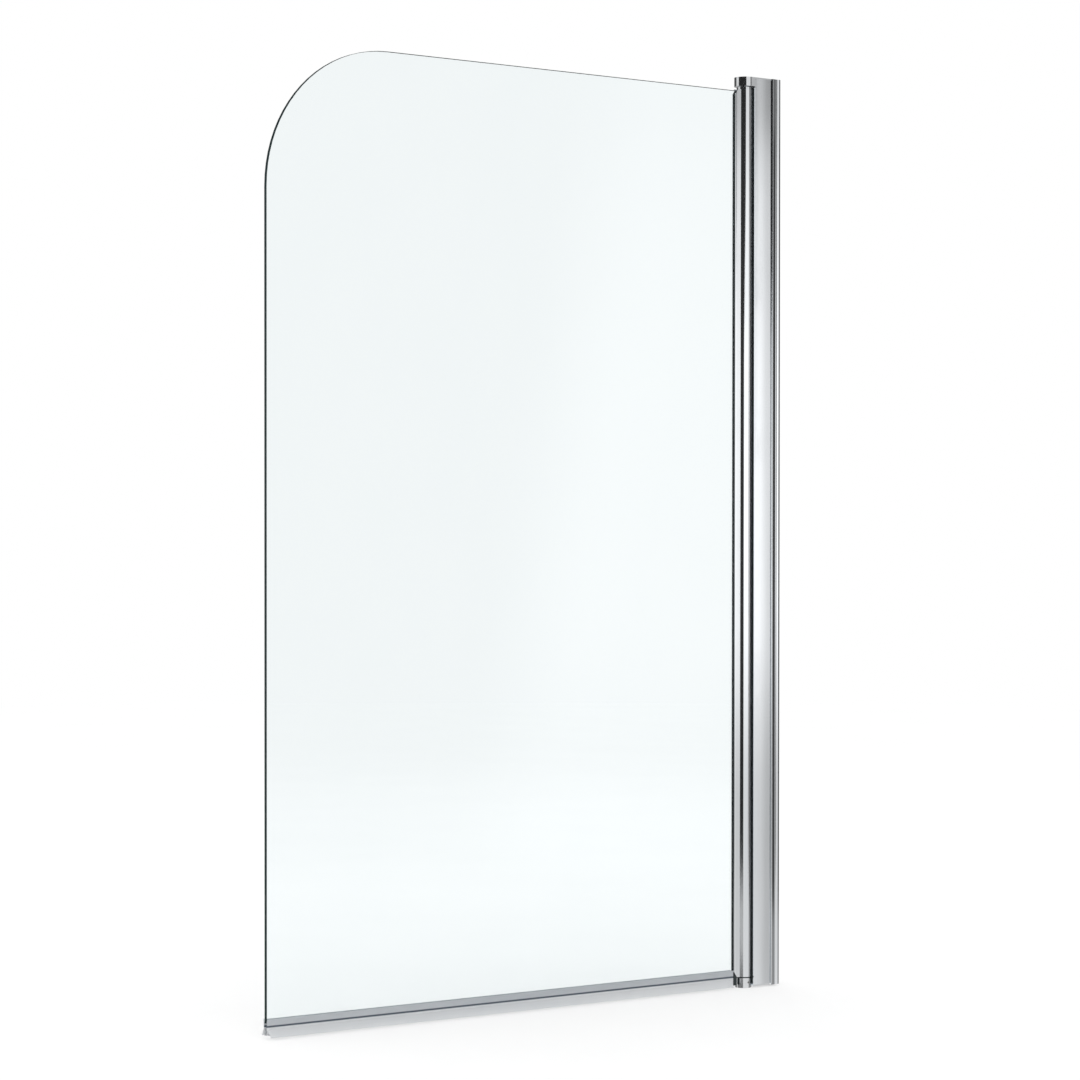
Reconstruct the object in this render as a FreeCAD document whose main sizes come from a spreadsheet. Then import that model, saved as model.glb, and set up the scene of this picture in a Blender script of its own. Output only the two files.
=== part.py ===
import FreeCAD, Part
import Sketcher

import math
import os

# Hinged bath screen: one clear safety-glass panel with a rounded outer top
# corner, swinging on a round hinge column beside a flat upright that is
# fitted into a wall channel.
#
# Frame: millimetres. The origin is on the wall, at the bottom end of the wall
# channel, half way across its width. +X runs into the wall, so the screen
# reaches towards -X, its free edge being the far end. +Z is up. Y is across
# the glass, whose middle plane is Y = 0, and -Y is the front.

doc = FreeCAD.newDocument("bath_screen")
sheet = doc.addObject("Spreadsheet::Sheet", "Sizes")

SIZES = [
    # wall channel
    ("chan_height", 1400.0, "height of the wall channel"),
    ("chan_depth", 17.5, "wall to the mouth of the channel"),
    ("chan_ridge", 18.6, "middle plane to the ridges beside the mouth"),
    ("chan_low_ridge", 17.6, "middle plane to the ridges beside the wall"),
    ("chan_inner", 15.9, "middle plane to the inside of its cheeks"),
    ("chan_web", 2.0, "thickness against the wall"),
    ("chan_back", 15.9, "half width of the flat that meets the wall"),
    ("chan_turn", 4.2, "wall to the ridge beside the wall"),
    ("chan_turn_rad", 20.0, "rounding beside the wall"),
    ("chan_lip", 0.7, "rounding at the mouth"),
    ("chan_hollow_rad", 17.0, "radius of the shallow hollow along each cheek"),
    ("chan_lead", 0.5, "lead-in bevel at the mouth"),
    ("slot_half", 2.75, "half width of a wall slot"),
    ("slot_long", 12.0, "end to end length of a wall slot"),
    ("slot_low", 60.0, "height of the lowest wall slot"),
    ("slot_mid", 486.0, "height of the second wall slot"),
    # hinge axis and upright
    ("axis_back", 59.2, "wall to the hinge axis"),
    ("up_tip", 8.1, "axis to the tips of the upright's cradle"),
    ("up_face", 15.6, "middle plane to the upright's faces at their edges"),
    ("up_inner", 14.0, "middle plane to the inside of the faces"),
    ("up_crown_rad", 560.0, "radius of the slightly crowned faces"),
    ("up_crown_end", 42.2, "axis to the wall side of the crown"),
    ("up_end", 54.2, "axis to the edge hidden in the wall channel"),
    ("cradle_in", 15.8, "radius of the hollow side of the cradle"),
    ("cradle_out", 17.4, "radius of the back of the cradle"),
    ("up_web", 30.0, "axis to the cross web"),
    ("up_wall", 1.6, "thickness of the cross web"),
    ("port_x", 25.2, "axis to the screw ports"),
    ("port_y", 10.9, "middle plane to the screw ports"),
    ("port_rad", 3.3, "outside of a screw port"),
    ("port_hole", 1.5, "hole of a screw port"),
    ("up_low", 2.5, "height of the upright's lower end"),
    ("up_high", 1398.2, "height of the upright's upper end"),
    ("notch_half", 7.2, "half width of the notches in the cradle"),
    ("notch_low", 10.2, "height of the lower notch"),
    ("notch_high", 11.2, "height of the upper notch"),
    # hinge column
    ("tube_rad", 12.5, "outside of the hinge column"),
    ("tube_hole", 9.5, "inside of the hinge column"),
    ("tube_low", 14.9, "height of the column's lower end"),
    ("tube_high", 1381.3, "height of the column's upper end"),
    ("lip_end", 23.2, "axis to the ends of the glazing lips"),
    ("lip_out", 4.9, "middle plane to the outside of the lips"),
    ("lip_in", 3.9, "middle plane to the inside of the lips"),
    ("slot_end", 10.8, "axis to the floor of the glazing slot"),
    ("groove_at", 20.4, "axis to the fine line along each lip"),
    ("groove_half", 0.6, "half width of the fine line"),
    ("groove_deep", 0.4, "depth of the fine line"),
    ("lip_cut_up", 9.2, "height of the bevel at the ends of the lips"),
    ("lip_cut_in", 6.2, "length of the bevel at the ends of the lips"),
    # glass
    ("glass_free", 871.5, "axis to the free edge"),
    ("glass_in", 12.5, "axis to the edge inside the column"),
    ("glass_low", 20.0, "height of the bottom edge"),
    ("glass_high", 1378.6, "height of the top edge"),
    ("glass_thick", 6.0, "thickness"),
    ("glass_round", 203.0, "radius of the outer top corner"),
    ("glass_arris", 0.5, "bevel of the ground edges"),
    # glazing strips
    ("strip_end", 24.3, "axis to the outer edge of the front strip"),
    ("strip_in", 12.2, "axis to the inner edge of the glazing strips"),
    ("strip_glass", 3.03, "middle plane to the strip's face on the glass"),
    ("strip_lip", 3.87, "middle plane to the strip's face on the lip"),
    ("strip_bead", 4.5, "middle plane to the top of the front strip's bead"),
    ("strip_rear", 22.0, "axis to the outer edge of the rear strip"),
    ("strip_low", 26.3, "height of the strip's lower end"),
    ("strip_high", 1373.6, "height of the strip's upper end"),
    # block under the glass
    ("block_out", 22.2, "axis to the block's outer face"),
    ("block_in", 16.4, "axis to the block's inner face"),
    ("block_half", 3.6, "half width of the block"),
    ("block_low", 2.2, "height of the block's underside"),
    ("block_high", 19.7, "height of the block's upper face"),
    # bottom seal
    ("seal_end", 24.3, "axis to the inner end of the seal"),
    ("seal_low", 3.1, "height of the seal's underside"),
    ("seal_floor", 15.5, "height of the floor of the seal's channel"),
    ("seal_high", 25.6, "height of the seal's upper edges"),
    ("seal_half", 4.6, "half width of the seal's body"),
    ("seal_grip", 3.08, "half width of the seal's channel"),
    ("fin_back", 6.6, "how far the fins stop short of the seal's inner end"),
    # end caps
    ("cap_rad", 16.0, "nose of the top cap"),
    ("cap_low", 1386.0, "height of the top cap's underside"),
    ("cap_high", 1400.0, "height of the top cap's upper face"),
    ("cap_inner", 15.6, "rounding of the top cap inside the cradle"),
    ("cap_step", 7.95, "axis to the top cap's shoulder at the cradle tips"),
    ("cap_end", 54.0, "axis to the wall side of the top cap"),
    ("cap_half", 15.9, "half width of the top cap's plate"),
    ("foot_low", -2.0, "height of the bottom cap's underside"),
    ("foot_high", 13.1, "height of the bottom cap's upper face"),
    ("foot_end", 41.0, "axis to the wall side of the bottom cap"),
    ("foot_half", 15.5, "half width of the bottom cap's plate"),
    ("tongue_half", 6.8, "half width of the caps' tongues"),
    ("tongue_end", 27.0, "axis to the end of the caps' tongues"),
    # pivots
    ("pin_rad", 4.0, "radius of the pivot pins"),
    ("pin_seat", 4.02, "radius of the pins' seats in the caps"),
    ("sleeve_in", 4.05, "radius of the sleeves' bores"),
    ("sleeve_out", 5.97, "outside of the sleeves"),
    ("plug_hole", 6.0, "bore of the column plugs"),
    ("plug_rad", 9.47, "outside of the column plugs"),
    ("plug_long", 25.0, "length of the column plugs"),
    ("collar_rad", 12.4, "radius of the collar on the upper plug"),
    ("collar_high", 1385.4, "height of the collar's upper face"),
    ("washer_rad", 11.5, "outside of the thrust washer"),
    ("washer_thick", 1.5, "thickness of the thrust washer"),
    ("grub_height", 6.4, "height of the grub screw"),
    ("grub_rad", 2.0, "radius of the grub screw"),
    # wiper strips between column and upright
    ("wiper_low", 3.0, "height of the wipers' lower ends"),
    ("wiper_high", 1385.0, "height of the wipers' upper ends"),
    # screws through the channel's rear cheek into the upright
    ("lock_x", 9.9, "wall to the locking screws"),
    ("lock_low", 100.0, "height of the lowest locking screw"),
    ("lock_step", 600.0, "spacing of the locking screws"),
]


class Size:
    """A length together with the sheet formula that gives it."""

    def __init__(self, value, text):
        self.value, self.text = float(value), text

    @staticmethod
    def of(other):
        return other if isinstance(other, Size) else Size(other, repr(float(other)))

    def __add__(self, other):
        other = Size.of(other)
        return Size(self.value + other.value, f"({self.text} + {other.text})")

    def __radd__(self, other):
        return Size.of(other) + self

    def __sub__(self, other):
        other = Size.of(other)
        return Size(self.value - other.value, f"({self.text} - {other.text})")

    def __rsub__(self, other):
        return Size.of(other) - self

    def __mul__(self, other):
        other = Size.of(other)
        return Size(self.value * other.value, f"({self.text} * {other.text})")

    __rmul__ = __mul__

    def __truediv__(self, other):
        other = Size.of(other)
        return Size(self.value / other.value, f"({self.text} / {other.text})")

    def __neg__(self):
        return Size(-self.value, f"(0 - {self.text})")


def root(square):
    return Size(math.sqrt(square.value), f"sqrt({square.text})")


def leg(long_side, short_side):
    """The other short side of a right triangle."""
    return root(long_side * long_side - short_side * short_side)


S = {}
for row, (alias, value, note) in enumerate(SIZES, start=1):
    sheet.set(f"A{row}", note)
    sheet.set(f"B{row}", str(value))
    sheet.setAlias(f"B{row}", alias)
    S[alias] = Size(value, f"Sizes.{alias}")
doc.recompute()

Z0 = Size(0, "0")


def tie(obj, prop, size):
    """Binds a property of an object to the sheet."""
    obj.setExpression(prop, Size.of(size).text)


def new_body(name):
    body = doc.addObject("PartDesign::Body", name)
    body.Label = name
    return body


def plane_of(body, role):
    return next(f for f in body.Origin.OriginFeatures if f.Role == role)


def new_sketch(body, name, role="XY_Plane", away=Z0):
    sk = body.newObject("Sketcher::SketchObject", name)
    sk.AttachmentSupport = [(plane_of(body, role), "")]
    sk.MapMode = "FlatFace"
    if away.value or away is not Z0:
        sk.AttachmentOffset = FreeCAD.Placement(
            FreeCAD.Vector(0, 0, away.value), FreeCAD.Rotation()
        )
        tie(sk, "AttachmentOffset.Base.z", away)
    return sk


def fix_point(sk, geo, pos, x, y):
    """Ties one point of a sketch to the sheet, measured from the sketch's origin."""
    for kind, size, axis in (("DistanceX", x, -2), ("DistanceY", y, -1)):
        if size is None:
            continue
        size = Size.of(size)
        if abs(size.value) < 1e-9:
            sk.addConstraint(Sketcher.Constraint("PointOnObject", geo, pos, axis))
        elif size.value > 0:
            n = sk.addConstraint(
                Sketcher.Constraint(kind, -1, 1, geo, pos, size.value)
            )
            sk.setExpression(f"Constraints[{n}]", size.text)
        else:
            n = sk.addConstraint(
                Sketcher.Constraint(kind, geo, pos, -1, 1, -size.value)
            )
            sk.setExpression(f"Constraints[{n}]", (-size).text)


def arc_geometry(p, q, radius, ccw, major):
    """The arc from p to q, and whether the sketch stores it from q to p."""
    dx, dy = q[0] - p[0], q[1] - p[1]
    chord = math.hypot(dx, dy)
    rise = math.sqrt(max(radius * radius - chord * chord / 4, 0.0))
    side = 1.0 if ccw != major else -1.0
    cx = (p[0] + q[0]) / 2 - side * rise * dy / chord
    cy = (p[1] + q[1]) / 2 + side * rise * dx / chord
    a = math.atan2(p[1] - cy, p[0] - cx)
    b = math.atan2(q[1] - cy, q[0] - cx)
    if not ccw:
        a, b = b, a
    while b <= a:
        b += 2 * math.pi
    circle = Part.Circle(FreeCAD.Vector(cx, cy, 0), FreeCAD.Vector(0, 0, 1), radius)
    return Part.ArcOfCircle(circle, a, b), not ccw


def outline(sk, steps):
    """A closed outline. Each step is a corner (x, y), or (x, y, radius, 'ccw' or
    'cw', 'minor' or 'major') for a corner that an arc leads to."""
    corners = [(Size.of(s[0]), Size.of(s[1])) for s in steps]
    geos = []
    for i, step in enumerate(steps):
        p, q = corners[i - 1], corners[i]
        a, b = (p[0].value, p[1].value), (q[0].value, q[1].value)
        if len(step) == 2:
            n = sk.addGeometry(
                Part.LineSegment(FreeCAD.Vector(*a, 0), FreeCAD.Vector(*b, 0)), False
            )
            geos.append((n, 1, 2))
        else:
            radius = Size.of(step[2])
            arc, swapped = arc_geometry(
                a, b, radius.value, step[3] == "ccw", step[4] == "major"
            )
            n = sk.addGeometry(arc, False)
            geos.append((n, 2, 1) if swapped else (n, 1, 2))
    for i, (n, first, last) in enumerate(geos):
        m, m_first, _ = geos[(i + 1) % len(geos)]
        sk.addConstraint(Sketcher.Constraint("Coincident", n, last, m, m_first))
    for i, step in enumerate(steps):
        n, first, last = geos[i]
        fix_point(sk, n, last, corners[i][0], corners[i][1])
        if len(step) > 2:
            radius = Size.of(step[2])
            (px, py), (qx, qy) = corners[i - 1], corners[i]
            dx, dy = qx.value - px.value, qy.value - py.value
            if abs(math.hypot(dx, dy) - 2 * radius.value) < 1e-6:
                # a half circle is tied by its centre
                if abs(dx) > abs(dy):
                    fix_point(sk, n, 3, None, (py + qy) / 2)
                else:
                    fix_point(sk, n, 3, (px + qx) / 2, None)
            else:
                c = sk.addConstraint(Sketcher.Constraint("Radius", n, radius.value))
                sk.setExpression(f"Constraints[{c}]", radius.text)


def ring(sk, x, y, radius):
    """A full circle tied to the sheet."""
    x, y, radius = Size.of(x), Size.of(y), Size.of(radius)
    n = sk.addGeometry(
        Part.Circle(
            FreeCAD.Vector(x.value, y.value, 0), FreeCAD.Vector(0, 0, 1), radius.value
        ),
        False,
    )
    fix_point(sk, n, 3, x, y)
    c = sk.addConstraint(Sketcher.Constraint("Radius", n, radius.value))
    sk.setExpression(f"Constraints[{c}]", radius.text)


def oblong(sk, x, y, half, long):
    """An upright slot with round ends."""
    reach = long / 2 - half
    outline(
        sk,
        [
            (x + half, y - reach),
            (x + half, y + reach),
            (x - half, y + reach, half, "ccw", "minor"),
            (x - half, y - reach),
            (x + half, y - reach, half, "ccw", "minor"),
        ][1:],
    )


def box_outline(sk, x0, y0, x1, y1):
    outline(sk, [(x0, y0), (x1, y0), (x1, y1), (x0, y1)])


def pad(body, sk, name, length, both=False):
    f = body.newObject("PartDesign::Pad", name)
    f.Profile = sk
    f.SideType = "Symmetric" if both else "One side"
    tie(f, "Length", length)
    sk.Visibility = False
    return f


def pocket(body, sk, name, length):
    """A cut reaching half its length to each side of its sketch."""
    f = body.newObject("PartDesign::Pocket", name)
    f.Profile = sk
    f.SideType = "Symmetric"
    tie(f, "Length", length)
    sk.Visibility = False
    return f


def chamfer(body, base, name, pick, size):
    """Bevels the edges of the feature 'base' that pick() accepts."""
    doc.recompute()
    names = [f"Edge{i + 1}" for i, e in enumerate(base.Shape.Edges) if pick(e)]
    f = body.newObject("PartDesign::Chamfer", name)
    f.Base = (base, names)
    tie(f, "Size", size)
    return f


def place(obj, x=Z0, y=Z0, z=Z0, turn=None):
    pos = [Size.of(v) for v in (x, y, z)]
    obj.Placement = FreeCAD.Placement(
        FreeCAD.Vector(*[v.value for v in pos]), turn or FreeCAD.Rotation()
    )
    for axis, v in zip("xyz", pos):
        if v.value:
            tie(obj, f"Placement.Base.{axis}", v)


def turned(name, corners):
    """A round piece, turned about the local Z axis from a half outline."""
    body = new_body(name)
    sk = new_sketch(body, f"{name}_half", "XZ_Plane")
    outline(sk, corners)
    f = body.newObject("PartDesign::Revolution", f"{name}_turn")
    f.Profile = sk
    f.ReferenceAxis = (sk, ["V_Axis"])
    f.Angle = 360
    sk.Visibility = False
    return body


def cross_recess(body, name, top, width, span, deep):
    """The cross-shaped driver recess in a screw head that faces local +Z."""
    sk = new_sketch(body, f"{name}_recess_shape", "XY_Plane", top)
    w, s = width / 2, span / 2
    outline(
        sk,
        [
            (w, w), (w, s), (-w, s), (-w, w), (-s, w), (-s, -w),
            (-w, -w), (-w, -s), (w, -s), (w, -w), (s, -w), (s, w),
        ],
    )
    pocket(body, sk, f"{name}_recess", deep * 2)


parts = []


def group(name, members):
    g = doc.addObject("Part::Compound", name)
    g.Label = name
    g.Links = members
    parts.append(g)
    return g


axis_x = -S["axis_back"]

# ---------------------------------------------------------------- wall channel
# A U-shaped extrusion, its back flat on the wall and its mouth towards the
# glass. A shallow hollow runs along each cheek between two ridges, of which
# the one beside the mouth stands higher.
chan = new_body("wall_channel")
sk = new_sketch(chan, "channel_section")
d, r, i = S["chan_depth"], S["chan_ridge"], S["chan_inner"]
low = S["chan_low_ridge"]
lip, turn, lead, web, back = (
    S["chan_lip"], S["chan_turn"], S["chan_lead"], S["chan_web"], S["chan_back"],
)
outline(
    sk,
    [
        (Z0, -back),
        (Z0, back),
        (-turn, low, S["chan_turn_rad"], "ccw", "minor"),
        (lip - d, r, S["chan_hollow_rad"], "cw", "minor"),
        (-d, r - lip, lip, "ccw", "minor"),
        (-d, i + lead),
        (lead - d, i),
        (-web, i),
        (-web, -i),
        (lead - d, -i),
        (-d, -i - lead),
        (-d, lip - r),
        (lip - d, -r, lip, "ccw", "minor"),
        (-turn, -low, S["chan_hollow_rad"], "cw", "minor"),
        (Z0, -back, S["chan_turn_rad"], "ccw", "minor"),
    ][1:],
)
pad(chan, sk, "channel_pad", S["chan_height"])
sk = new_sketch(chan, "wall_slots_shape", "YZ_Plane")
for height in (
    S["slot_low"],
    S["slot_mid"],
    S["chan_height"] - S["slot_mid"],
    S["chan_height"] - S["slot_low"],
):
    oblong(sk, Z0, height, S["slot_half"], S["slot_long"])
pocket(chan, sk, "wall_slots", web * 4)
sk = new_sketch(chan, "lock_holes_shape", "XZ_Plane", -S["chan_ridge"])
for n in range(3):
    ring(sk, -S["lock_x"], S["lock_low"] + S["lock_step"] * n, 2.1)
pocket(chan, sk, "lock_holes", S["chan_ridge"] - S["chan_inner"] + 3)
parts.append(chan)

# ------------------------------------------------------------------- upright
# The adjusting profile: two slightly crowned faces joined by the cradle that
# wraps half round the hinge column and by a cross web. Its open edge slides
# in the wall channel. Screw ports run its whole length for the end caps.
up = new_body("adjusting_profile")
place(up, x=axis_x, z=S["up_low"])
tip, face, inner = S["up_tip"], S["up_face"], S["up_inner"]
far, crown_end = S["up_end"], S["up_crown_end"]
co, ci = S["cradle_out"], S["cradle_in"]
sk = new_sketch(up, "upright_section")
outline(
    sk,
    [
        (crown_end, -face, S["up_crown_rad"], "ccw", "minor"),
        (far, -face),
        (far, -inner),
        (leg(co, inner), -inner),
        (leg(co, inner), inner, co, "ccw", "minor"),
        (far, inner),
        (far, face),
        (crown_end, face),
        (tip, face, S["up_crown_rad"], "ccw", "minor"),
        (tip, leg(ci, tip)),
        (tip, -leg(ci, tip), ci, "cw", "minor"),
        (tip, -face),
    ],
)
up_long = S["up_high"] - S["up_low"]
pad(up, sk, "upright_pad", up_long)
sk = new_sketch(up, "web_section")
box_outline(sk, S["up_web"], -inner - 0.2, S["up_web"] + S["up_wall"], inner + 0.2)
pad(up, sk, "web_pad", up_long)
sk = new_sketch(up, "ports_section")
for sign in (-1, 1):
    ring(sk, S["port_x"], S["port_y"] * sign, S["port_rad"])
pad(up, sk, "ports_pad", up_long)
sk = new_sketch(up, "port_holes_shape")
for sign in (-1, 1):
    ring(sk, S["port_x"], S["port_y"] * sign, S["port_hole"])
pocket(up, sk, "port_holes", up_long * 2 + 20)
sk = new_sketch(up, "low_notch_shape")
box_outline(sk, ci - 4, -S["notch_half"], co + 2, S["notch_half"])
pocket(up, sk, "low_notch", S["notch_low"] * 2)
sk = new_sketch(up, "high_notch_shape", "XY_Plane", up_long)
box_outline(sk, ci - 4, -S["notch_half"], co + 2, S["notch_half"])
pocket(up, sk, "high_notch", S["notch_high"] * 2)
sk = new_sketch(up, "lock_pilots_shape", "XZ_Plane", -S["up_face"])
for n in range(3):
    ring(
        sk,
        S["axis_back"] - S["lock_x"],
        S["lock_low"] + S["lock_step"] * n - S["up_low"],
        1.97,
    )
pocket(up, sk, "lock_pilots", 6.0 + Z0)
parts.append(up)


def screw(name, head_rad, head_high, shank_rad, long, sunk, recess):
    """A screw with its head's upper face at local Z = 0 and its shank below."""
    h, s, e = Size.of(head_high), Size.of(shank_rad), Size.of(long)
    hr = Size.of(head_rad)
    if sunk:
        # countersunk head, narrowing to the shank
        corners = [
            (Z0, Z0), (hr, Z0), (hr, Z0 - 0.15), (s, Z0 - (hr - s) - 0.15),
            (s, 0.8 - e), (s - 0.8, -e), (Z0, -e),
        ]
    else:
        # pan head with a rounded shoulder
        corners = [
            (Z0, Z0), (hr - 1.4, Z0), (hr, -h * 0.6, 2.1, "cw", "minor"),
            (hr, -h), (s, -h), (s, 0.8 - e), (s - 0.8, -e), (Z0, -e),
        ]
    body = turned(name, corners)
    cross_recess(body, name, Z0, Size.of(0.9), Size.of(recess), Size.of(1.1))
    return body


# ---------------------------------------------------- screws of the upright
lock_screws = []
for n in range(3):
    b = screw(f"lock_screw_{n + 1}", 3.75, 2.5, 1.95, 14.5, False, 3.6)
    place(
        b,
        x=-S["lock_x"],
        y=S["chan_ridge"] + 1.75,
        z=S["lock_low"] + S["lock_step"] * n,
        turn=FreeCAD.Rotation(FreeCAD.Vector(1, 0, 0), -90),
    )
    lock_screws.append(b)
group("channel_lock_screws", lock_screws)

# ------------------------------------------------------------------- top cap
# A cast piece: a round nose over the hinge column, a thin plate over the end
# of the upright and a tongue that reaches into it through the cradle's notch.
cap = new_body("top_cap")
place(cap, x=axis_x, z=S["cap_low"])
cap_tall = S["cap_high"] - S["cap_low"]
plate_low = S["up_high"] - S["cap_low"]
cr, step, cin = S["cap_rad"], S["cap_step"], S["cap_inner"]
sk = new_sketch(cap, "cap_nose_shape")
outline(
    sk,
    [
        (step, -cr),
        (step, -leg(cin, step)),
        (step, leg(cin, step), cin, "ccw", "minor"),
        (step, cr),
        (Z0, cr),
        (Z0, -cr, cr, "ccw", "minor"),
    ],
)
pad(cap, sk, "cap_nose", cap_tall)
sk = new_sketch(cap, "cap_plate_shape", "XY_Plane", plate_low)
ch, ce = S["cap_half"], S["cap_end"]
outline(
    sk,
    [
        (step - 3, -ch),
        (ce - 2, -ch),
        (ce, 2 - ch, 2, "ccw", "minor"),
        (ce, ch - 2),
        (ce - 2, ch, 2, "ccw", "minor"),
        (step - 3, ch),
    ],
)
pad(cap, sk, "cap_plate", cap_tall - plate_low)
sk = new_sketch(cap, "cap_tongue_shape", "XY_Plane", 1.5 + Z0)
th, te = S["tongue_half"], S["tongue_end"]
box_outline(sk, 8, -th, te, th)
pad(cap, sk, "cap_tongue", plate_low - 1.0)
sk = new_sketch(cap, "cap_pin_seat_shape")
ring(sk, Z0, Z0, S["pin_seat"])
pocket(cap, sk, "cap_pin_seat", 20.0 + Z0)
sk = new_sketch(cap, "cap_screw_holes_shape", "XY_Plane", cap_tall)
for sign in (-1, 1):
    ring(sk, S["port_x"], S["port_y"] * sign, 1.55)
holes = pocket(cap, sk, "cap_screw_holes", (cap_tall - plate_low) * 2 + 2)
chamfer(
    cap,
    holes,
    "cap_countersinks",
    lambda e: isinstance(e.Curve, Part.Circle)
    and abs(e.Curve.Radius - 1.55) < 0.01
    and abs(e.CenterOfMass.z - cap_tall.value) < 0.1,
    1.5 + Z0,
)
parts.append(cap)

cap_screws = []
for n, sign in enumerate((-1, 1)):
    b = screw(f"cap_screw_{n + 1}", 2.8, 1.5, 1.47, 16.0, True, 3.2)
    place(b, x=axis_x + S["port_x"], y=S["port_y"] * sign, z=S["cap_high"] - 0.05)
    cap_screws.append(b)
group("top_cap_screws", cap_screws)

# ---------------------------------------------------------------- bottom cap
# A round foot of the column's own radius under the column, a plate under the
# upright, hollowed like the cradle, and a tongue into the upright.
foot = new_body("bottom_cap")
place(foot, x=axis_x)
sk = new_sketch(foot, "foot_nose_shape", "XY_Plane", S["foot_low"])
ring(sk, Z0, Z0, S["tube_rad"])
pad(foot, sk, "foot_nose", S["foot_high"] - S["foot_low"])
sk = new_sketch(foot, "foot_tongue_shape")
box_outline(sk, 6, -th, te, th)
pad(foot, sk, "foot_tongue", S["up_low"] + S["notch_low"] - 0.7)
sk = new_sketch(foot, "foot_plate_shape")
fh, fe = S["foot_half"], S["foot_end"]
outline(
    sk,
    [
        (tip, -fh),
        (fe - 1, -fh),
        (fe, 1 - fh, 1, "ccw", "minor"),
        (fe, fh - 1),
        (fe - 1, fh, 1, "ccw", "minor"),
        (tip, fh),
        (tip, leg(ci, tip)),
        (tip, -leg(ci, tip), ci, "cw", "minor"),
    ],
)
pad(foot, sk, "foot_plate", S["up_low"])
sk = new_sketch(foot, "foot_pin_seat_shape", "XY_Plane", S["foot_high"])
ring(sk, Z0, Z0, S["pin_seat"])
pocket(foot, sk, "foot_pin_seat", (S["foot_high"] - 1) * 2)
sk = new_sketch(foot, "grub_hole_shape", "XZ_Plane", 8.3 + Z0)
ring(sk, Z0, S["grub_height"], S["grub_rad"] + 0.05)
pocket(foot, sk, "grub_hole", 9.6 + Z0)
sk = new_sketch(foot, "foot_screw_holes_shape")
for sign in (-1, 1):
    ring(sk, S["port_x"], S["port_y"] * sign, 1.55)
holes = pocket(foot, sk, "foot_screw_holes", S["up_low"] * 2 + 2)
chamfer(
    foot,
    holes,
    "foot_countersinks",
    lambda e: isinstance(e.Curve, Part.Circle)
    and abs(e.Curve.Radius - 1.55) < 0.01
    and abs(e.CenterOfMass.z) < 0.1,
    1.5 + Z0,
)
parts.append(foot)

foot_screws = []
for n, sign in enumerate((-1, 1)):
    b = screw(f"foot_screw_{n + 1}", 2.8, 1.5, 1.47, 16.0, True, 3.2)
    place(
        b,
        x=axis_x + S["port_x"],
        y=S["port_y"] * sign,
        z=0.05 + Z0,
        turn=FreeCAD.Rotation(FreeCAD.Vector(1, 0, 0), 180),
    )
    foot_screws.append(b)
group("bottom_cap_screws", foot_screws)

# --------------------------------------------------------------- pivot pieces
pr = S["pin_rad"]


def pin(name, low, long):
    b = turned(
        name,
        [
            (Z0, Z0), (pr - 0.6, Z0), (pr, Z0 + 0.6),
            (pr, long - 0.6), (pr - 0.6, long), (Z0, long),
        ],
    )
    place(b, x=axis_x, z=low)
    parts.append(b)


pin("top_pivot_pin", S["cap_low"] - 22, Size.of(31.8))
pin("bottom_pivot_pin", Z0 + 1.1, Size.of(34.0))

# set screw that holds the lower pin, with a six-sided socket facing the front
g = S["grub_rad"]
grub = turned(
    "pivot_grub_screw",
    [
        (Z0, Z0), (g - 0.3, Z0), (g, Z0 - 0.3), (g, Z0 - 7.3),
        (g - 0.8, Z0 - 8.1), (Z0, Z0 - 8.1),
    ],
)
sk = new_sketch(grub, "grub_socket_shape")
hexa = 1.155
outline(
    sk,
    [
        (hexa * math.cos(math.radians(60 * k + 30)), hexa * math.sin(math.radians(60 * k + 30)))
        if abs(math.cos(math.radians(60 * k + 30))) > 1e-9
        else (0, hexa * math.sin(math.radians(60 * k + 30)))
        for k in range(6)
    ],
)
pocket(grub, sk, "grub_socket", 4.0 + Z0)
place(
    grub,
    x=axis_x,
    y=-S["tube_rad"] + 0.25,
    z=S["grub_height"],
    turn=FreeCAD.Rotation(FreeCAD.Vector(1, 0, 0), 90),
)
parts.append(grub)

wr, wt = S["washer_rad"], S["washer_thick"]
b = turned(
    "thrust_washer",
    [(pr + 0.1, Z0), (wr, Z0), (wr, wt), (pr + 0.1, wt)],
)
place(b, x=axis_x, z=S["foot_high"])
parts.append(b)

# ------------------------------------------------------------ wiper strips
# Two rubber strips deep in the cradle, one on each side, whose thin edges stop
# just short of the column and keep water from passing between the two.
wipers = []
for n, sign in enumerate((-1, 1)):
    b = new_body(f"wiper_{n + 1}")
    place(b, x=axis_x, z=S["wiper_low"])
    sk = new_sketch(b, f"wiper_section_{n + 1}")
    polar = [
        (15.76, 31), (15.76, 40), (14.9, 40), (12.95, 44), (12.88, 41.6),
        (14.3, 36.5), (14.7, 31),
    ]
    pts = [
        (rad * math.cos(math.radians(a)), sign * rad * math.sin(math.radians(a)))
        for rad, a in polar
    ]
    outline(sk, pts if sign > 0 else pts[::-1])
    pad(b, sk, f"wiper_pad_{n + 1}", S["wiper_high"] - S["wiper_low"])
    wipers.append(b)
group("column_wiper_seals", wipers)

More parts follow.
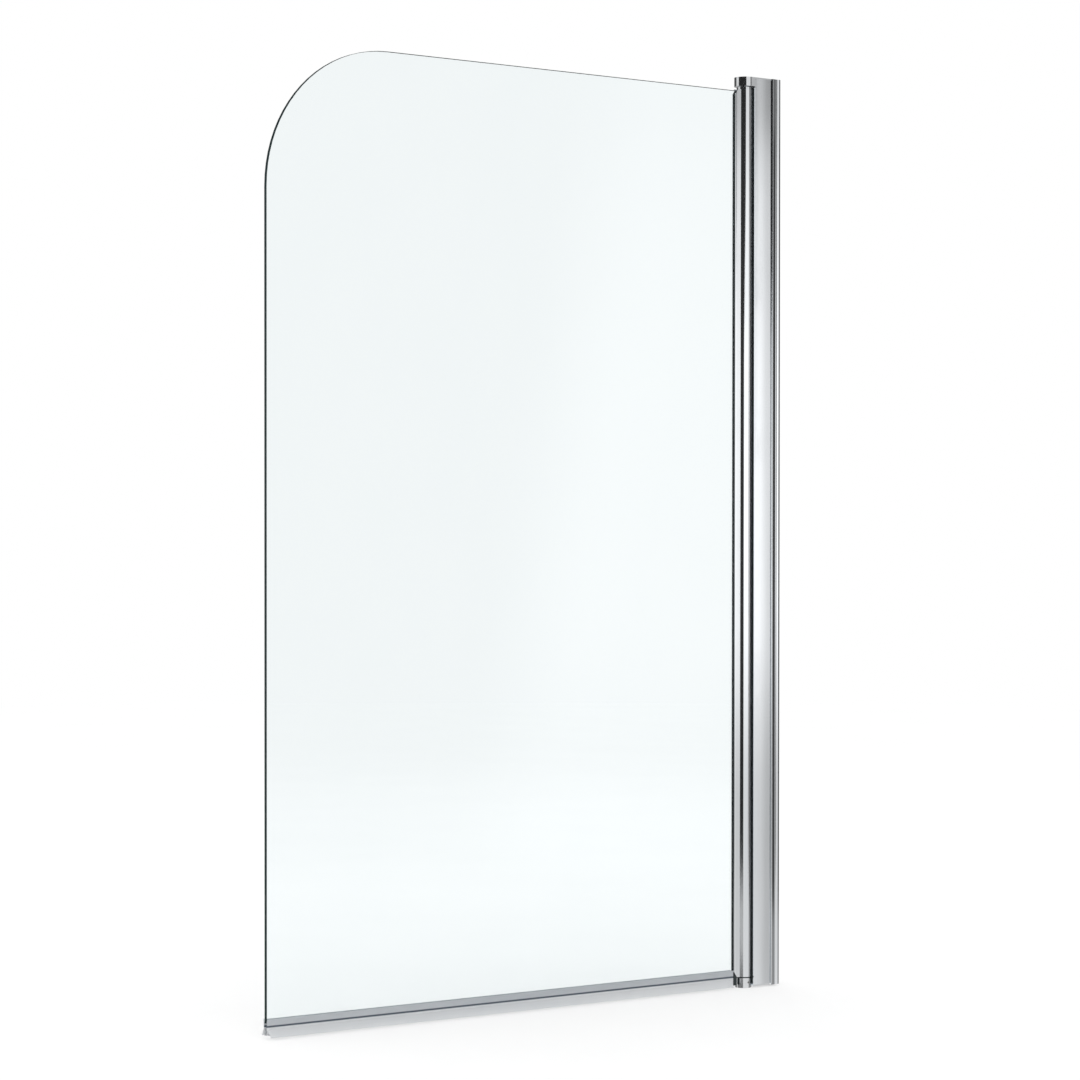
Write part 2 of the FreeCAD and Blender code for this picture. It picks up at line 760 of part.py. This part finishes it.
# -------------------------------------------------------------- hinge column
# A round extrusion with two parallel lips that hold the glass, the lips cut
# back on a slant at both ends.
tube = new_body("hinge_tube")
place(tube, x=axis_x, z=S["tube_low"])
tr, le, lo, li = S["tube_rad"], S["lip_end"], S["lip_out"], S["lip_in"]
ga, gh, gd = S["groove_at"], S["groove_half"], S["groove_deep"]
tube_long = S["tube_high"] - S["tube_low"]
sk = new_sketch(tube, "column_section")
outline(
    sk,
    [
        (0.4 - le, -lo),
        (-ga - gh, -lo),
        (-ga, gd - lo),
        (gh - ga, -lo),
        (-leg(tr, lo), -lo),
        (-leg(tr, lo), lo, tr, "ccw", "major"),
        (gh - ga, lo),
        (-ga, lo - gd),
        (-ga - gh, lo),
        (0.4 - le, lo),
        (-le, lo - 0.4),
        (-le, li),
        (-S["slot_end"], li),
        (-S["slot_end"], -li),
        (-le, -li),
        (-le, 0.4 - lo),
    ],
)
ring(sk, Z0, Z0, S["tube_hole"])
pad(tube, sk, "column_pad", tube_long)
sk = new_sketch(tube, "lip_cuts_shape", "XZ_Plane")
cu, cn = S["lip_cut_up"], S["lip_cut_in"]
outline(sk, [(-le - 3, -2), (-le - 3, cu), (-le, cu), (cn - le, Z0), (cn - le, -2)])
outline(
    sk,
    [
        (-le - 3, tube_long + 2),
        (cn - le, tube_long + 2),
        (cn - le, tube_long),
        (-le, tube_long - cu),
        (-le - 3, tube_long - cu),
    ],
)
pocket(tube, sk, "lip_cuts", lo * 4)
parts.append(tube)

# upper plug: a collar on top of the column and a spigot inside it
pg, ph, cl = S["plug_rad"], S["plug_hole"], S["collar_rad"]
plug_up = S["collar_high"] - S["tube_high"]
b = turned(
    "top_end_plug",
    [
        (ph, -S["plug_long"]), (pg - 0.8, -S["plug_long"]),
        (pg, 0.8 - S["plug_long"]), (pg, Z0), (cl, Z0),
        (cl, plug_up - 0.7), (cl - 0.7, plug_up), (ph, plug_up),
    ],
)
place(b, x=axis_x, z=S["tube_high"])
parts.append(b)
b = turned(
    "bottom_end_plug",
    [
        (ph, Z0), (pg, Z0), (pg, S["plug_long"] - 0.8),
        (pg - 0.8, S["plug_long"]), (ph, S["plug_long"]),
    ],
)
place(b, x=axis_x, z=S["tube_low"])
parts.append(b)

# plastic sleeves that the pivot pins turn in
si, so = S["sleeve_in"], S["sleeve_out"]
for name, low in (
    ("top_pivot_sleeve", S["collar_high"] - 24),
    ("bottom_pivot_sleeve", S["tube_low"]),
):
    b = turned(name, [(si, Z0), (so, Z0), (so, Z0 + 24), (si, Z0 + 24)])
    place(b, x=axis_x, z=low)
    parts.append(b)

# --------------------------------------------------------------------- glass
glass = new_body("glass_panel")
place(glass, x=axis_x, z=S["glass_low"])
gf, gi, gr = S["glass_free"], S["glass_in"], S["glass_round"]
tall = S["glass_high"] - S["glass_low"]
sk = new_sketch(glass, "glass_outline", "XZ_Plane")
outline(
    sk,
    [
        (-gf, Z0),
        (-gi, Z0),
        (-gi, tall),
        (gr - gf, tall),
        (-gf, tall - gr, gr, "ccw", "minor"),
    ],
)
slab = pad(glass, sk, "glass_slab", S["glass_thick"], both=True)
chamfer(
    glass,
    slab,
    "ground_edges",
    lambda e: abs(abs(e.CenterOfMass.y) - S["glass_thick"].value / 2) < 1e-6,
    S["glass_arris"],
)
parts.append(glass)

# ------------------------------------------------------------ glazing strips
# Dark strips between the glass and each lip. The front one has a bead that
# shows beside the lip, the rear one ends inside the slot.
sg, sl, sb = S["strip_glass"], S["strip_lip"], S["strip_bead"]
for name in ("front_glazing_strip", "rear_glazing_strip"):
    b = new_body(name)
    place(b, x=axis_x, z=S["strip_low"])
    sk = new_sketch(b, f"{name}_section")
    if name.startswith("front"):
        steps = [
            (-S["strip_end"], 0.5 - sb),
            (0.5 - S["strip_end"], -sb),
            (-le - 0.05, -sb),
            (-le - 0.05, -sl),
            (-S["strip_in"], -sl),
            (-S["strip_in"], -sg),
            (-S["strip_end"], -sg),
        ]
    else:
        steps = [
            (-S["strip_rear"], sg),
            (-S["strip_in"], sg),
            (-S["strip_in"], sl),
            (-S["strip_rear"], sl),
        ]
    outline(sk, steps)
    pad(b, sk, f"{name}_pad", S["strip_high"] - S["strip_low"])
    parts.append(b)

# pads that keep the edge of the glass off the floor of the slot
pads = []
for n in range(3):
    b = doc.addObject("Part::Box", f"edge_pad_{n + 1}")
    tie(b, "Length", S["glass_in"] - S["slot_end"] - 0.06)
    tie(b, "Width", S["glass_thick"] - 0.4)
    tie(b, "Height", Size.of(60))
    place(
        b,
        x=axis_x - S["glass_in"] + 0.03,
        y=0.2 - S["glass_thick"] / 2,
        z=S["glass_low"] + 80 + 570 * Size.of(n),
    )
    pads.append(b)
group("glass_edge_pads", pads)

# block in the lower end of the slot, under the inner corner of the glass
block = new_body("glass_support_block")
place(block, x=axis_x, z=S["block_low"])
sk = new_sketch(block, "block_shape")
box_outline(sk, -S["block_out"], -S["block_half"], -S["block_in"], S["block_half"])
pad(block, sk, "block_pad", S["block_high"] - S["block_low"])
parts.append(block)

# --------------------------------------------------------------- bottom seal
# A soft extrusion pushed onto the bottom edge of the glass: a channel that
# grips it, a hollow body below with a fine line between the two, and a
# sloping fin on each side, the front one longer.
seal = new_body("bottom_seal")
place(seal, x=axis_x - S["glass_free"])
sk = new_sketch(seal, "seal_section", "YZ_Plane")
hw, gp, fl, hi, lw = (
    S["seal_half"], S["seal_grip"], S["seal_floor"], S["seal_high"], S["seal_low"],
)
outline(
    sk,
    [
        (-hw, 22 + Z0),
        (-hw, fl + 0.9),
        (0.7 - hw, fl + 0.2),
        (-hw, fl - 0.5),
        (-hw, 11.4 + Z0),
        (-15.3, 1.9 + Z0),
        (-14.7, 1.2 + Z0),
        (-hw, 9.4 + Z0),
        (-hw, lw + 0.6),
        (0.6 - hw, lw),
        (hw - 0.6, lw),
        (hw, lw + 0.6),
        (hw, 9.6 + Z0),
        (8.7, 2.9 + Z0),
        (9.4, 3.4 + Z0),
        (hw, 12.4 + Z0),
        (hw, fl - 0.5),
        (hw - 0.7, fl + 0.2),
        (hw, fl + 0.9),
        (hw, 22 + Z0),
        (hw + 1.1, hi),
        (gp + 1.3, hi),
        (gp, 22.5 + Z0),
        (gp, fl),
        (-gp, fl),
        (-gp, 22.5 + Z0),
        (-gp - 1.3, hi),
        (-hw - 1.1, hi),
    ],
)
outline(
    sk,
    [
        (1.3 - hw, lw + 1.3),
        (hw - 1.3, lw + 1.3),
        (hw - 1.3, fl - 1.8),
        (1.3 - hw, fl - 1.8),
    ],
)
seal_long = S["glass_free"] - S["seal_end"]
pad(seal, sk, "seal_pad", seal_long)
# the fins are cut back beside the foot, so that they clear it
sk = new_sketch(seal, "fin_cuts_shape")
box_outline(sk, seal_long - S["fin_back"], -18, seal_long + 2, -hw - 0.02)
box_outline(sk, seal_long - S["fin_back"], hw + 0.02, seal_long + 2, 12)
pocket(seal, sk, "fin_cuts", 26 + Z0)
parts.append(seal)

# ---------------------------------------------------------------- check, write
doc.recompute()
bad = [o.Name for o in doc.Objects if "Invalid" in o.State or "Error" in o.State]
for o in parts:
    if o.Shape.isNull() or not o.Shape.isValid():
        bad.append(o.Label)
if bad:
    raise SystemExit("failed: " + ", ".join(bad))

os.makedirs("parts", exist_ok=True)
for o in parts:
    o.Shape.exportStep(f"parts/{o.Label}.step")
    box = o.Shape.BoundBox
    print(
        f"{o.Label:24s} solids {len(o.Shape.Solids)} volume {o.Shape.Volume:12.1f}"
        f"  x {box.XMin:8.2f} {box.XMax:8.2f}  y {box.YMin:7.2f} {box.YMax:7.2f}"
        f"  z {box.ZMin:8.2f} {box.ZMax:8.2f}"
    )
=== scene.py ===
import math

import bmesh
import bpy
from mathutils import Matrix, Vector


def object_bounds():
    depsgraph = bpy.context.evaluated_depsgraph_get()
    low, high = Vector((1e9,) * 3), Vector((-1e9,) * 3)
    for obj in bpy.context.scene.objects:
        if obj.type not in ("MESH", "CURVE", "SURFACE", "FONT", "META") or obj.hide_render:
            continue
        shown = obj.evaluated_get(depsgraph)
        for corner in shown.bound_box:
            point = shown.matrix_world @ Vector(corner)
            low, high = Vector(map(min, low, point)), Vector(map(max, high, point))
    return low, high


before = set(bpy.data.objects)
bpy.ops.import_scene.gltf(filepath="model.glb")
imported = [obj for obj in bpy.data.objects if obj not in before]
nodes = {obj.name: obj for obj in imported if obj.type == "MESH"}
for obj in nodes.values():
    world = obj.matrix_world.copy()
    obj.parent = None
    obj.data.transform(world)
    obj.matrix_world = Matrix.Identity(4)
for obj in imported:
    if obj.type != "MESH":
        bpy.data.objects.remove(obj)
cad_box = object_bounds()
scene = bpy.context.scene

WALL_SIDE, GLASS_SIDE = "wall_side", "glass_side"

# ------------------------------------------------------------------ camera
# Camera about 5 m from the screen, on its free side, half way up, with a long
# lens. It looks down by under one degree and is shifted back up by as much.
cam_data = bpy.data.cameras.new("camera")
cam_data.sensor_fit = "HORIZONTAL"
cam_data.sensor_width = 36.0
cam_data.lens = 107.5
cam_data.clip_start = 0.05
cam_data.clip_end = 60.0
cam = bpy.data.objects.new("camera", cam_data)
cam.location = (-3.324, -3.768, 0.687)
cam.rotation_euler = (math.radians(89.22), math.radians(-0.043), math.radians(-37.29))
cam_data.shift_y = 0.0415
scene.collection.objects.link(cam)
scene.camera = cam

scene.view_settings.view_transform = "Standard"
scene.view_settings.look = "None"
scene.view_settings.exposure = 0.0
scene.view_settings.gamma = 1.0


# ------------------------------------------------------------ node helpers
class Tree:
    """A short way to build node trees."""

    def __init__(self, tree):
        self.tree = tree
        for n in list(tree.nodes):
            tree.nodes.remove(n)

    def node(self, kind, **props):
        n = self.tree.nodes.new(kind)
        for key, value in props.items():
            setattr(n, key, value)
        return n

    def link(self, a, b):
        self.tree.links.new(a, b)

    def put(self, socket, value):
        if hasattr(value, "is_output") or isinstance(value, bpy.types.NodeSocket):
            self.tree.links.new(value, socket)
        else:
            socket.default_value = value

    def math(self, op, a, b=None, clamp=False):
        n = self.node("ShaderNodeMath", operation=op, use_clamp=clamp)
        self.put(n.inputs[0], a)
        if b is not None:
            self.put(n.inputs[1], b)
        return n.outputs[0]

    def ramp(self, value, lo, hi, out_lo=0.0, out_hi=1.0, smooth=True):
        n = self.node(
            "ShaderNodeMapRange",
            interpolation_type="SMOOTHSTEP" if smooth else "LINEAR",
            clamp=True,
        )
        self.put(n.inputs["Value"], value)
        self.put(n.inputs["From Min"], lo)
        self.put(n.inputs["From Max"], hi)
        self.put(n.inputs["To Min"], out_lo)
        self.put(n.inputs["To Max"], out_hi)
        return n.outputs["Result"]

    def mix_color(self, fac, a, b, blend="MIX"):
        n = self.node("ShaderNodeMix", data_type="RGBA", blend_type=blend)
        self.put(n.inputs[0], fac)
        self.put(n.inputs[6], a)
        self.put(n.inputs[7], b)
        return n.outputs[2]

    def place(self, scale=(1, 1, 1)):
        c = self.node("ShaderNodeTexCoord")
        m = self.node("ShaderNodeMapping")
        m.inputs["Scale"].default_value = scale
        self.link(c.outputs["Object"], m.inputs["Vector"])
        return m.outputs["Vector"]

    def noise(self, vector, scale, detail=2.0, rough=0.5):
        n = self.node("ShaderNodeTexNoise")
        self.link(vector, n.inputs["Vector"])
        n.inputs["Scale"].default_value = scale
        n.inputs["Detail"].default_value = detail
        n.inputs["Roughness"].default_value = rough
        return n.outputs["Fac"]

    def bump(self, height, distance, strength=1.0, normal=None):
        n = self.node("ShaderNodeBump")
        n.inputs["Strength"].default_value = strength
        n.inputs["Distance"].default_value = distance
        self.put(n.inputs["Height"], height)
        if normal is not None:
            self.link(normal, n.inputs["Normal"])
        return n.outputs["Normal"]


def material(name):
    mat = bpy.data.materials.new(name)
    mat.use_nodes = True
    t = Tree(mat.node_tree)
    out = t.node("ShaderNodeOutputMaterial")
    p = t.node("ShaderNodeBsdfPrincipled")
    t.link(p.outputs["BSDF"], out.inputs["Surface"])
    return mat, t, p, out


# --------------------------------------------------------------- materials
def polished_aluminium(name, tone=0.95, rough=0.045, cradle=False):
    """Bright-dipped extrusion: fine drawing lines along Z, a slow waviness,
    and faint smears where it has been wiped. The cradle's hollow side is left
    as it came from the press, duller than the faces."""
    mat, t, p, _ = material(name)
    lines = t.noise(t.place((1900, 1900, 1.6)), 1.0, 3.0, 0.6)
    fine = t.noise(t.place((5200, 5200, 9.0)), 1.0, 2.0, 0.5)
    wave = t.noise(t.place((26, 26, 3.0)), 1.0, 2.0, 0.5)
    smear = t.noise(t.place((22, 22, 7.0)), 1.0, 4.0, 0.65)
    cloud = t.ramp(smear, 0.46, 0.74)
    r = t.math("ADD", t.ramp(lines, 0.35, 0.7, 0.0, 0.03), rough)
    r = t.math("ADD", r, t.math("MULTIPLY", cloud, 0.035))
    if cradle:
        at = t.node("ShaderNodeSeparateXYZ")
        t.link(t.place(), at.inputs[0])
        dx = t.math("ADD", at.outputs[0], 0.0592)
        away = t.math(
            "SQRT",
            t.math("ADD", t.math("MULTIPLY", dx, dx), t.math("MULTIPLY", at.outputs[1], at.outputs[1])),
        )
        r = t.math("ADD", r, t.ramp(away, 0.0160, 0.0163, 0.42, 0.0))
    t.put(p.inputs["Roughness"], r)
    col = t.mix_color(
        t.ramp(fine, 0.3, 0.75),
        (tone * 0.955, tone * 0.978, tone, 1),
        (tone * 0.93, tone * 0.955, tone * 0.98, 1),
    )
    col = t.mix_color(t.math("MULTIPLY", cloud, 0.3), col, (tone * 0.90, tone * 0.925, tone * 0.95, 1))
    t.put(p.inputs["Base Color"], col)
    p.inputs["Metallic"].default_value = 1.0
    n = t.bump(wave, 0.00022, 0.5)
    n = t.bump(lines, 0.000012, 0.6, n)
    t.put(p.inputs["Normal"], n)
    return mat


def plated(name, tone=0.92, rough=0.05):
    """Mirror-plated casting: a faint orange-peel and a few polishing swirls."""
    mat, t, p, _ = material(name)
    peel = t.noise(t.place((1, 1, 1)), 420.0, 3.0, 0.5)
    slow = t.noise(t.place((1, 1, 1)), 60.0, 2.0, 0.5)
    t.put(p.inputs["Roughness"], t.math("ADD", t.ramp(peel, 0.35, 0.75, 0.0, 0.05), rough))
    t.put(
        p.inputs["Base Color"],
        t.mix_color(
            t.ramp(slow, 0.3, 0.7),
            (tone * 0.965, tone * 0.985, tone, 1),
            (tone * 0.925, tone * 0.945, tone * 0.965, 1),
        ),
    )
    p.inputs["Metallic"].default_value = 1.0
    n = t.bump(slow, 0.00008, 0.35)
    n = t.bump(peel, 0.00001, 0.5, n)
    t.put(p.inputs["Normal"], n)
    return mat


def stainless(name):
    """Machined stainless: fine rings from turning, duller than the plating."""
    mat, t, p, _ = material(name)
    grain = t.noise(t.place((1, 1, 1)), 2600.0, 3.0, 0.6)
    tone = t.noise(t.place((1, 1, 1)), 380.0, 2.0, 0.5)
    t.put(p.inputs["Roughness"], t.ramp(grain, 0.3, 0.7, 0.2, 0.38))
    t.put(
        p.inputs["Base Color"],
        t.mix_color(t.ramp(tone, 0.3, 0.7), (0.66, 0.655, 0.64, 1), (0.52, 0.52, 0.515, 1)),
    )
    p.inputs["Metallic"].default_value = 1.0
    t.put(p.inputs["Normal"], t.bump(grain, 0.00002, 0.5))
    return mat


def black_rubber(name, tone=(0.018, 0.026, 0.028)):
    """Matt black extruded rubber with a dusty bloom and a fine skin."""
    mat, t, p, _ = material(name)
    skin = t.noise(t.place((1, 1, 1)), 1800.0, 4.0, 0.6)
    bloom = t.noise(t.place((60, 60, 14)), 1.0, 4.0, 0.6)
    t.put(
        p.inputs["Base Color"],
        t.mix_color(
            t.ramp(bloom, 0.42, 0.78, 0.0, 0.6),
            (*tone, 1),
            (tone[0] * 2.4, tone[1] * 2.3, tone[2] * 2.2, 1),
        ),
    )
    t.put(p.inputs["Roughness"], t.ramp(bloom, 0.3, 0.7, 0.42, 0.62))
    p.inputs["Specular IOR Level"].default_value = 0.4
    t.put(p.inputs["Normal"], t.bump(skin, 0.00003, 0.5))
    return mat


def white_plastic(name):
    """Bearing plastic: off-white, waxy, lightly marked."""
    mat, t, p, _ = material(name)
    mottle = t.noise(t.place((1, 1, 1)), 300.0, 4.0, 0.6)
    t.put(
        p.inputs["Base Color"],
        t.mix_color(t.ramp(mottle, 0.35, 0.75), (0.82, 0.815, 0.78, 1), (0.72, 0.715, 0.67, 1)),
    )
    t.put(p.inputs["Roughness"], t.ramp(mottle, 0.3, 0.7, 0.35, 0.5))
    p.inputs["Subsurface Weight"].default_value = 0.12
    p.inputs["Subsurface Radius"].default_value = (0.002, 0.002, 0.0016)
    t.put(p.inputs["Normal"], t.bump(mottle, 0.00004, 0.4))
    return mat


def clear_glass(name):
    """Toughened glass: a faint green cast and the slow roller wave that a tempering oven leaves. The ground edges
    are painted opaque and nearly black-green: painted shade standing in for the dark look glass has when it is
    seen along its length."""
    mat, t, p, out = material(name)
    wave = t.noise(t.place((4.0, 4.0, 9.0)), 1.0, 2.0, 0.5)
    film = t.noise(t.place((7, 7, 5)), 1.0, 4.0, 0.6)
    grind = t.noise(t.place((700, 700, 700)), 1.0, 3.0, 0.6)
    parts = t.node("ShaderNodeSeparateXYZ")
    t.link(t.place(), parts.inputs[0])  # the faces lie 3 mm either side of the middle
    side = t.ramp(t.math("ABSOLUTE", parts.outputs[1]), 0.00290, 0.00298, 1.0, 0.0)
    clear = t.mix_color(t.ramp(film, 0.3, 0.75), (0.926, 0.968, 0.974, 1), (0.918, 0.962, 0.969, 1))
    # painted shade: the edge faces get a near-black green colour and no transmission, in place of the darkness
    # glass shows when seen along its length
    edge_painted_shade = t.mix_color(t.ramp(grind, 0.3, 0.7), (0.005, 0.020, 0.021, 1), (0.003, 0.014, 0.015, 1))
    t.put(p.inputs["Base Color"], t.mix_color(side, clear, edge_painted_shade))
    p.inputs["Roughness"].default_value = 0.0
    p.inputs["IOR"].default_value = 1.52
    t.put(p.inputs["Transmission Weight"], t.math("SUBTRACT", 1.0, side))
    n = t.bump(wave, 0.0006, 0.12)
    t.put(p.inputs["Normal"], t.bump(t.math("MULTIPLY", side, grind), 0.0006, 1.0, n))
    return mat


def clear_seal(name):
    """Soft translucent extrusion: slightly hazy, with drawn lines along X. Its grip on the glass looks darker
    than the body, and the groove between the two is painted nearly black and less clear: painted shade for the
    shade trapped there."""
    mat, t, p, _ = material(name)
    lines = t.noise(t.place((2, 1100, 1100)), 1.0, 3.0, 0.6)
    haze = t.noise(t.place((5, 40, 40)), 1.0, 3.0, 0.5)
    at = t.node("ShaderNodeSeparateXYZ")
    t.link(t.place(), at.inputs[0])
    z = at.outputs[2]
    body = t.mix_color(t.ramp(haze, 0.35, 0.75), (0.86, 0.875, 0.89, 1), (0.81, 0.83, 0.85, 1))
    grip = t.mix_color(t.ramp(haze, 0.35, 0.75), (0.66, 0.69, 0.72, 1), (0.61, 0.645, 0.68, 1))
    col = t.mix_color(t.ramp(z, 0.0150, 0.0168), body, grip)
    # painted shade: a near-black band in the colour, with less transmission below, where the groove between body
    # and grip is shaded
    groove_painted_shade = t.math("MULTIPLY", t.ramp(z, 0.0138, 0.0148), t.ramp(z, 0.0164, 0.0174, 1.0, 0.0))
    t.put(p.inputs["Base Color"], t.mix_color(groove_painted_shade, col, (0.085, 0.11, 0.14, 1)))
    t.put(
        p.inputs["Roughness"],
        t.math("ADD", t.ramp(haze, 0.3, 0.75, 0.30, 0.38), t.ramp(lines, 0.3, 0.7, 0.0, 0.06)),
    )
    p.inputs["IOR"].default_value = 1.5
    t.put(p.inputs["Transmission Weight"], t.math("SUBTRACT", 0.42, t.math("MULTIPLY", groove_painted_shade, 0.36)))
    t.put(p.inputs["Normal"], t.bump(lines, 0.00002, 0.4))
    return mat


ALU = polished_aluminium("aluminium_polished_look")
UPRIGHT = polished_aluminium("aluminium_upright_look", cradle=True)
CHROME = plated("chrome_cast_look")
STEEL = stainless("stainless_look")
RUBBER = black_rubber("black_rubber_look")
PLASTIC = white_plastic("white_plastic_look")
GLASS = clear_glass("clear_glass_look")
SEAL = clear_seal("clear_seal_look")

LOOKS = {
    "wall_channel": ALU, "adjusting_profile": UPRIGHT, "hinge_tube": ALU,
    "top_cap": CHROME, "bottom_cap": CHROME, "top_end_plug": CHROME,
    "bottom_end_plug": CHROME,
    "channel_lock_screws": STEEL, "top_cap_screws": STEEL,
    "bottom_cap_screws": STEEL, "top_pivot_pin": STEEL,
    "bottom_pivot_pin": STEEL, "pivot_grub_screw": STEEL,
    "thrust_washer": RUBBER, "column_wiper_seals": RUBBER,
    "front_glazing_strip": RUBBER, "rear_glazing_strip": RUBBER,
    "glass_edge_pads": RUBBER, "glass_support_block": RUBBER,
    "top_pivot_sleeve": PLASTIC, "bottom_pivot_sleeve": PLASTIC,
    "glass_panel": GLASS, "bottom_seal": SEAL,
}
for name, look in LOOKS.items():
    mesh = nodes[name].data
    for i in range(len(mesh.materials)):
        mesh.materials[i] = look


# ------------------------------------------------------------------- floor
floor_mesh = bpy.data.meshes.new("floor")
bm = bmesh.new()
bmesh.ops.create_circle(bm, cap_ends=True, segments=96, radius=9.0)
bm.to_mesh(floor_mesh)
bm.free()
floor = bpy.data.objects.new("floor", floor_mesh)
floor.location = (-0.45, 0.0, cad_box[0][2] - 0.0003)
scene.collection.objects.link(floor)
mat, t, p, _ = material("floor_paint")
dust = t.noise(t.place((1, 1, 1)), 3.0, 4.0, 0.6)
t.put(
    p.inputs["Base Color"],
    t.mix_color(t.ramp(dust, 0.3, 0.7), (0.45, 0.45, 0.45, 1), (0.44, 0.44, 0.44, 1)),
)
p.inputs["Emission Color"].default_value = (1, 1, 1, 1)
p.inputs["Emission Strength"].default_value = 0.556
p.inputs["Roughness"].default_value = 0.9
p.inputs["Specular IOR Level"].default_value = 0.0
floor_mesh.materials.append(mat)
floor.visible_glossy = False

# ------------------------------------------------------------ studio light
# A white studio with soft light all round. Polished metal shows what
# surrounds it, so mirror reflections also see the studio's darker sides.
world = bpy.data.worlds.new("studio")
scene.world = world
world.use_nodes = True
t = Tree(world.node_tree)
out = t.node("ShaderNodeOutputWorld")
white = t.node("ShaderNodeBackground")
white.inputs["Color"].default_value = (1, 1, 1, 1)
white.inputs["Strength"].default_value = 1.0
room = t.node("ShaderNodeBackground")
coord = t.node("ShaderNodeTexCoord")
split = t.node("ShaderNodeSeparateXYZ")
t.link(coord.outputs["Generated"], split.inputs[0])
x, y, z = split.outputs
around = t.math(
    "MULTIPLY",
    t.math("ARCTAN2", t.math("MULTIPLY", x, -1.0), t.math("MULTIPLY", y, -1.0)),
    180 / math.pi,
)  # degrees from the front, positive to the free side
flat = t.math(
    "SQRT", t.math("ADD", t.math("MULTIPLY", x, x), t.math("MULTIPLY", y, y))
)
rise = t.math("MULTIPLY", t.math("ARCTAN2", z, flat), 180 / math.pi)


def band(value, lo, hi, soft):
    """1 between lo and hi, falling to 0 over soft on each side."""
    return t.math(
        "MULTIPLY",
        t.ramp(value, lo - soft, lo + soft),
        t.ramp(value, hi - soft, hi + soft, 1.0, 0.0),
    )


def at_least(value, lo, hi, amount=1.0):
    """0 below lo, rising to amount at hi."""
    return t.ramp(value, lo, hi, 0.0, amount)


def lower(a, b):
    return t.math("SUBTRACT", a, b)


down = t.math("MULTIPLY", rise, -1.0)
# height of the light: brightest at eye level, dimmer above and below
level = lower(1.15, at_least(rise, 2.5, 5.5, 0.16))
level = lower(level, at_least(rise, 5.5, 7.8, 0.24))
level = lower(level, at_least(down, 1.2, 4.6, 0.45))
level = t.math("ADD", level, at_least(down, 7.2, 9.5, 0.15))
# a dark flat on the left, a narrow one in front, a dark corner on the right
near = lower(43.0, at_least(rise, 3.2, 6.6, 22.0))
far = lower(128.0, at_least(rise, 7.0, 8.0, 20.0))
left = t.math(
    "MULTIPLY",
    t.math("MULTIPLY", at_least(lower(around, near), -3.0, 3.0), t.ramp(lower(around, far), -2.0, 2.0, 1.0, 0.0)),
    t.math(
        "MAXIMUM",
        band(rise, -6.15, 14.0, 0.45),
        t.math("MAXIMUM", at_least(down, 6.0, 6.6, 0.3), at_least(down, 7.2, 7.6, 0.84)),
    ),
)
slope = t.math("ADD", t.math("ADD", around, 37.5), t.math("MULTIPLY", rise, 0.155))
front = t.math(
    "MULTIPLY",
    t.math("MULTIPLY", at_least(slope, -1.0, 1.3), t.ramp(around, -29.4, -27.4, 1.0, 0.0)),
    band(rise, -5.8, 14.0, 0.5),
)
fade = t.ramp(around, -45.4, -38.2, 0.42, 0.0)
corner = t.math("MULTIPLY", t.ramp(around, -49.0, -46.6, 1.0, 0.0), at_least(around, -148.0, -136.0))
corner = t.math("MULTIPLY", corner, lower(1.0, at_least(rise, 6.9, 7.7, 0.55)))
corner = t.math("MULTIPLY", corner, lower(1.0, at_least(down, 6.1, 6.9, 0.6)))
high = t.math("MULTIPLY", at_least(rise, 6.6, 7.8), t.ramp(around, -47.0, -35.0, 0.5, 0.0))
back = at_least(around, 140.5, 145.0, 0.8)
turn = t.math("MAXIMUM", at_least(around, 148.0, 154.0), t.ramp(around, -166.0, -160.0, 1.0, 0.0))
back = t.math("ADD", t.math("MULTIPLY", turn, at_least(rise, 6.8, 7.6, 0.3)), back)
back = t.math("MINIMUM", back, 0.9)
grey = t.math("ADD", t.ramp(around, -88.0, -74.0, 0.12, 0.05), t.ramp(around, -118.0, -98.0, 0.06, 0.0))
light = t.math("MULTIPLY", level, lower(1.0, fade))
light = t.math("MULTIPLY", light, lower(1.0, high))
light = t.math("MULTIPLY", light, lower(1.0, back))
light = t.math("MULTIPLY", light, lower(1.0, t.math("MULTIPLY", left, 0.972)))
light = t.math("MULTIPLY", light, lower(1.0, t.math("MULTIPLY", front, 0.95)))
light = t.math(
    "ADD",
    t.math("MULTIPLY", light, lower(1.0, corner)),
    t.math("MULTIPLY", corner, grey),
)
light = t.math("MAXIMUM", light, 0.012)
comb = t.node("ShaderNodeCombineColor")
for s in comb.inputs[:3]:
    t.link(light, s)
t.link(comb.outputs[0], room.inputs["Color"])
room.inputs["Strength"].default_value = 1.0
path = t.node("ShaderNodeLightPath")
mix = t.node("ShaderNodeMixShader")
mirrored = t.math(
    "MULTIPLY", path.outputs["Is Glossy Ray"], lower(1.0, path.outputs["Is Transmission Ray"])
)
t.link(mirrored, mix.inputs[0])
t.link(white.outputs[0], mix.inputs[1])
t.link(room.outputs[0], mix.inputs[2])
t.link(mix.outputs[0], out.inputs["Surface"])


def soft_light(name, at, aim, size, power):
    data = bpy.data.lights.new(name, "AREA")
    data.shape = "RECTANGLE"
    data.size, data.size_y = size
    data.energy = power
    ob = bpy.data.objects.new(name, data)
    ob.location = at
    ob.rotation_euler = (Vector(aim) - Vector(at)).to_track_quat("-Z", "Y").to_euler()
    ob.visible_glossy = False
    ob.visible_camera = False
    scene.collection.objects.link(ob)


soft_light("key", (-2.2, -3.0, 3.4), (-0.45, 0, 0.6), (2.2, 2.2), 26)
soft_light("fill", (1.8, 2.6, 3.2), (-0.45, 0, 0.5), (2.2, 2.2), 14)

scene.cycles.max_bounces = 16
scene.cycles.transmission_bounces = 16
scene.cycles.glossy_bounces = 8
scene.cycles.transparent_max_bounces = 16
